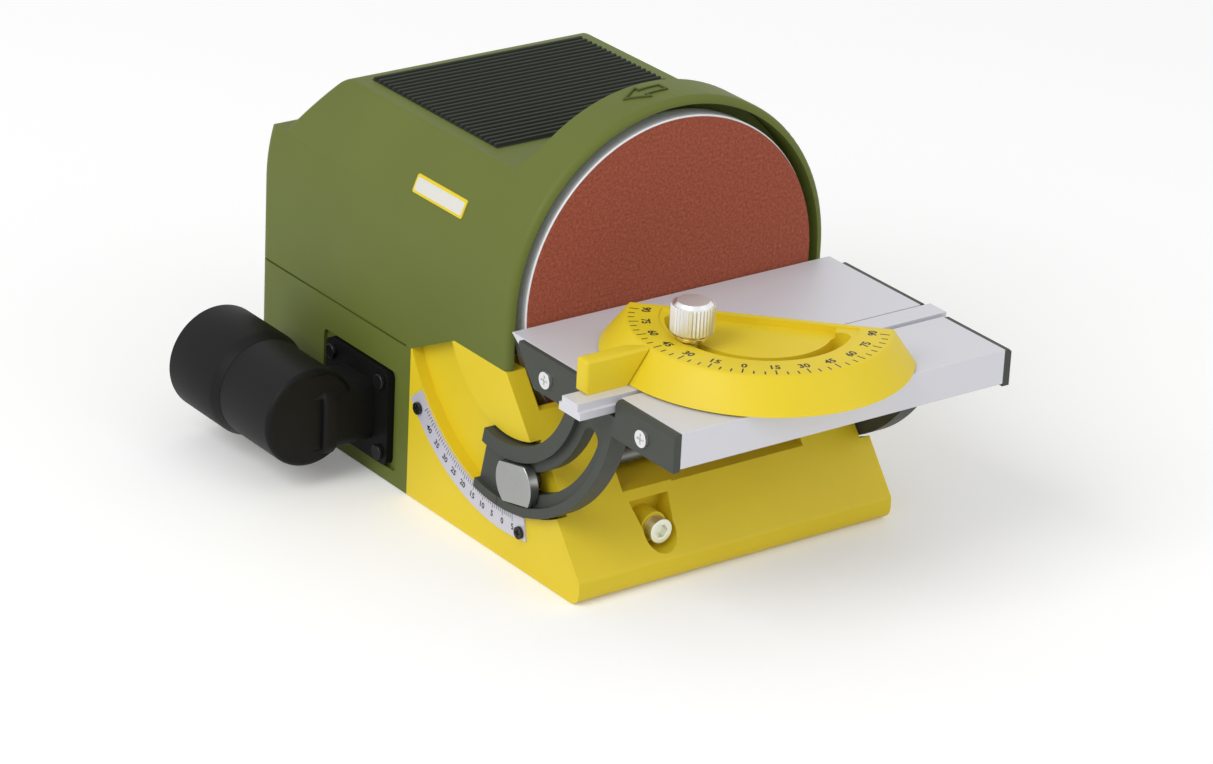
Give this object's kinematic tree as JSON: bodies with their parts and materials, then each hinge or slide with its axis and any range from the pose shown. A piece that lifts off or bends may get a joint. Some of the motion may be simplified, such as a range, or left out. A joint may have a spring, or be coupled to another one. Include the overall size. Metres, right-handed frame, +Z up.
{
  "type": "benchtop disc sander",
  "caption": "Benchtop disc sander with a direct drive motor housing, hopper base with side dust outlet, tilting slotted table on quadrant brackets and a sliding mitre gauge.",
  "frame": {"origin": "on the bench plane, below the middle of the sanding face", "axes": "+X to the operator's right, +Y back along the motor axis, +Z up"},
  "size_m": [0.205, 0.2785, 0.1595],
  "materials": {
    "green_shell": "fine sparked texture",
    "yellow_shell": "satin moulded",
    "mat_rubber": "ribbed, matt",
    "scale_aluminium": "printed strip",
    "dark_steel": "blackened",
    "black_plastic": "satin moulded",
    "bright_steel": "zinc plated",
    "shield_zinc": "die cast",
    "motor_steel": "zinc plated sheet",
    "ferrite": "sintered",
    "shaft_steel": "ground",
    "brass_part": "turned",
    "carbon": "pressed carbon",
    "board_green": "coated board",
    "capacitor_blue": "sleeved",
    "lamination": "stacked sheet",
    "copper": "enamelled copper wire",
    "disc_aluminium": "turned",
    "abrasive": "coated abrasive cloth",
    "table_aluminium": "milled and anodised",
    "bracket_zinc": "grey die casting",
    "knob_chrome": "knurled and plated",
    "red_plastic": "gloss moulded"
  },
  "bodies": {
    "machine": {"upper_housing": "green_shell", "lower_housing": "green_shell", "front_base": "yellow_shell", "roof_mat": "mat_rubber", "angle_scale": "scale_aluminium", "scale_screws": "dark_steel", "dust_elbow": "black_plastic", "dust_sleeve": "black_plastic", "dust_screws": "dark_steel", "base_tie_bolt": "bright_steel", "tie_bolt_nut": "bright_steel", "housing_screws": "bright_steel", "base_screws": "bright_steel", "clamp_bolt": "bright_steel", "front_shield": "shield_zinc", "motor_can": "motor_steel", "field_magnets": "ferrite", "rear_shield": "shield_zinc", "front_bearing": "shaft_steel", "rear_bearing": "shaft_steel", "brush_holders": "brass_part", "carbon_brushes": "carbon", "brush_springs": "bright_steel", "motor_screws": "bright_steel", "circuit_board": "board_green", "heat_sink": "shield_zinc", "capacitor": "capacitor_blue", "board_screws": "bright_steel", "switch_body": "black_plastic", "potentiometer": "motor_steel", "cable_gland": "black_plastic"},
    "drive": {"armature_shaft": "shaft_steel", "armature_core": "lamination", "windings": "copper", "commutator": "copper", "cooling_fan": "black_plastic", "disc_hub": "dark_steel", "hub_set_screw": "dark_steel", "disc_screws": "dark_steel", "sanding_disc": "disc_aluminium", "abrasive_sheet": "abrasive"},
    "table": {"table_deck": "table_aluminium", "left_bracket": "bracket_zinc", "right_bracket": "bracket_zinc", "bracket_screws": "bright_steel"},
    "tilt_knob": {"clamp_knob": "black_plastic", "clamp_knob_insert": "brass_part"},
    "gauge_slide": {"slide_bar": "table_aluminium", "pointer_block": "yellow_shell", "pivot_pin": "bright_steel", "clamp_stud": "bright_steel"},
    "gauge_head": {"protractor": "yellow_shell"},
    "gauge_lock": {"gauge_knob": "knob_chrome"},
    "power_rocker": {"switch_rocker": "red_plastic"},
    "dial": {"speed_dial": "black_plastic"}
  },
  "joints": [
    {"name": "disc_spin", "type": "hinge", "parent": "machine", "child": "drive", "pos_m": [0, 0, 0.09], "axis": [0, 1, 0], "continuous": true},
    {"name": "table_tilt", "type": "hinge", "parent": "machine", "child": "table", "pos_m": [0, -0.001, 0.0872], "axis": [1, 0, 0], "range_deg": [-5, 50]},
    {"name": "tilt_knob_turn", "type": "hinge", "parent": "machine", "child": "tilt_knob", "pos_m": [0, -0.01223, 0.03438], "axis": [1, 0, 0], "range_deg": [0, 360]},
    {"name": "gauge_travel", "type": "slide", "parent": "table", "child": "gauge_slide", "axis": [1, 0, 0], "range_m": [-0.06, 0.06]},
    {"name": "gauge_swing", "type": "hinge", "parent": "gauge_slide", "child": "gauge_head", "pos_m": [-0.008, -0.06, 0.0872], "axis": [0, 0, 1], "range_deg": [-120, 30]},
    {"name": "gauge_knob_turn", "type": "hinge", "parent": "gauge_slide", "child": "gauge_lock", "pos_m": [-0.037, -0.06, 0.1], "axis": [0, 0, 1], "range_deg": [0, 360]},
    {"name": "power_rocker_tilt", "type": "hinge", "parent": "machine", "child": "power_rocker", "pos_m": [0.0675, 0.092, 0.074], "axis": [0, 0, 1], "range_deg": [-20, 0]},
    {"name": "speed_dial_turn", "type": "hinge", "parent": "machine", "child": "dial", "pos_m": [0.0695, 0.128, 0.074], "axis": [1, 0, 0], "range_deg": [0, 270]}
  ]
}
